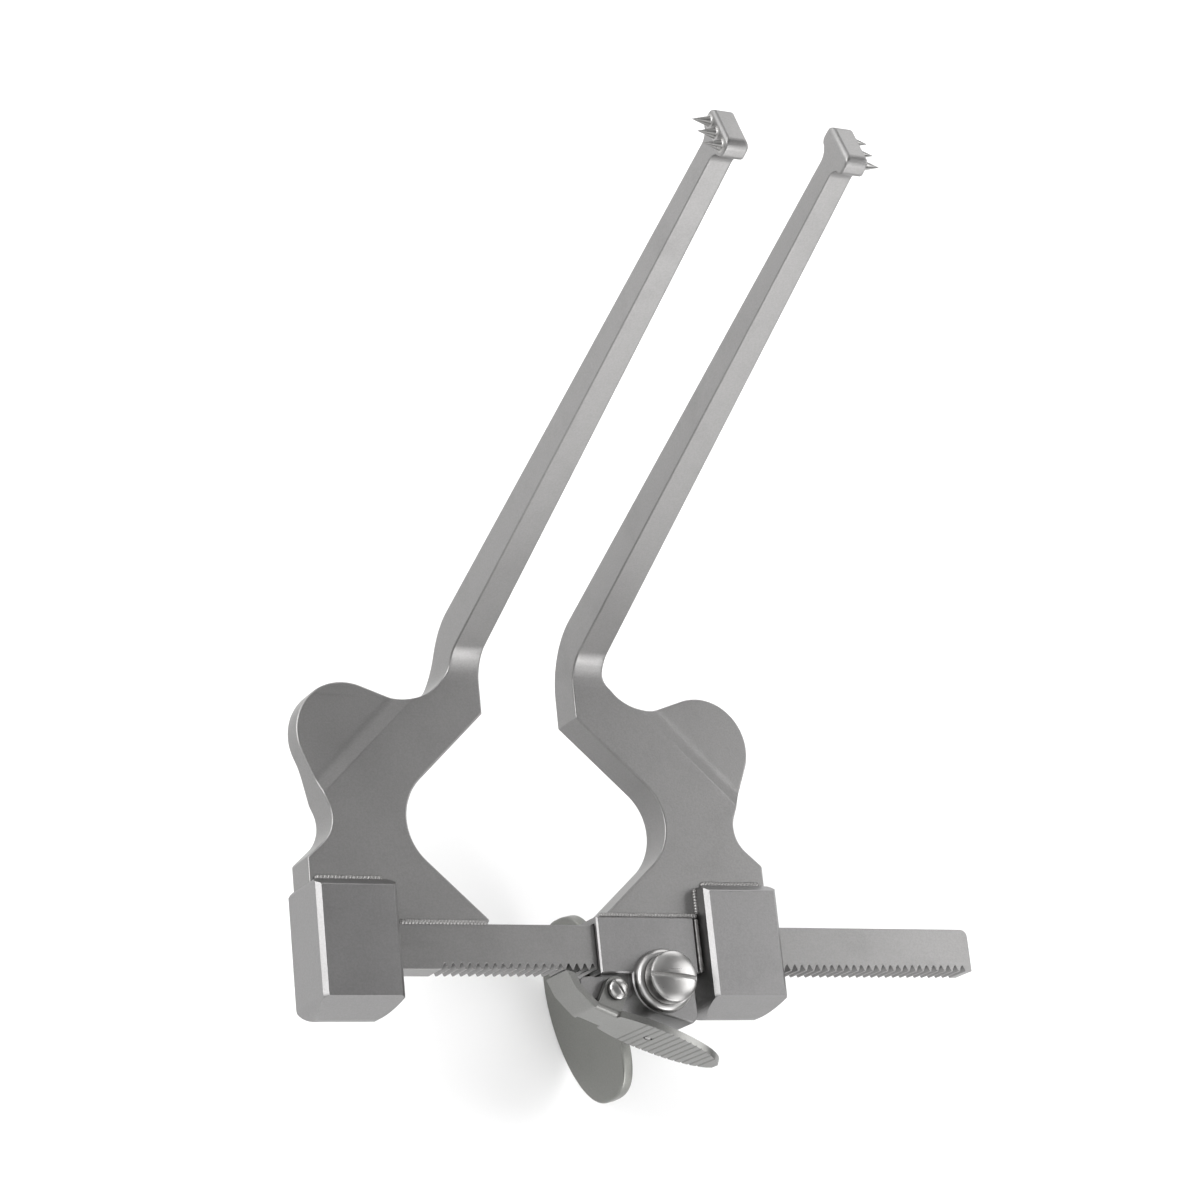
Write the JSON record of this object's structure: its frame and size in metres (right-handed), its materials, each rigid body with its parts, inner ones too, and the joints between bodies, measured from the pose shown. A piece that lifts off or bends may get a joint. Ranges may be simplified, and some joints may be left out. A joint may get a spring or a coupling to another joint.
{
  "type": "lamina spreader",
  "caption": "Ratcheted lamina spreader: bent arms with pronged heads, one fixed and one driven along a toothed bar by a wing key, held by a sprung pawl.",
  "frame": {"origin": "left block, on its flat back face, level with the roots of the rack's teeth", "axes": "+X along the rack toward its free end, +Y up the plates away from the teeth, +Z out of the front, the side the arms bend to"},
  "size_m": [0.1312, 0.13, 0.1487],
  "materials": {
    "satin_steel": "bead-blasted satin stainless steel",
    "brushed_steel": "machined and lightly brushed stainless steel",
    "polished_steel": "polished stainless steel",
    "spring_steel": "smooth spring steel"
  },
  "bodies": {
    "fixed_frame": {"rack_bar": "brushed_steel", "left_arm": "satin_steel", "left_block": "satin_steel", "left_block_weld": "satin_steel", "left_spike_1": "polished_steel", "left_spike_2": "polished_steel", "left_spike_3": "polished_steel"},
    "carriage": {"right_arm": "satin_steel", "right_block": "satin_steel", "right_block_weld": "satin_steel", "right_spike_1": "polished_steel", "right_spike_2": "polished_steel", "right_spike_3": "polished_steel", "housing": "satin_steel", "housing_top_weld": "satin_steel", "housing_side_weld": "satin_steel", "pivot_screw": "polished_steel"},
    "drive": {"pinion": "brushed_steel", "pinion_collar": "polished_steel", "pinion_screw": "polished_steel", "wing_key": "satin_steel", "key_pin": "polished_steel"},
    "pawl": {"pawl_lever": "satin_steel", "leaf_spring": "spring_steel", "spring_rivet": "polished_steel"}
  },
  "joints": [
    {"name": "carriage_slide", "type": "slide", "parent": "fixed_frame", "child": "carriage", "axis": [1, 0, 0], "range_m": [-0.017, 0.04]},
    {"name": "key_turn", "type": "hinge", "parent": "carriage", "child": "drive", "pos_m": [0.0577, -0.00337, 0.0071], "axis": [0, 0, 1], "range_deg": [-360, 840]},
    {"name": "pawl_pivot", "type": "hinge", "parent": "carriage", "child": "pawl", "pos_m": [0.0484, -0.0049, 0.0071], "axis": [0, 0, 1], "range_deg": [0, 8], "stiffness_Nm_per_rad": 0.2, "springref_deg": -20.05, "deforming": ["leaf_spring"]}
  ],
  "couplings": [
    {"joint": "key_turn", "follows": "carriage_slide", "rad_per_m": 363.64}
  ]
}
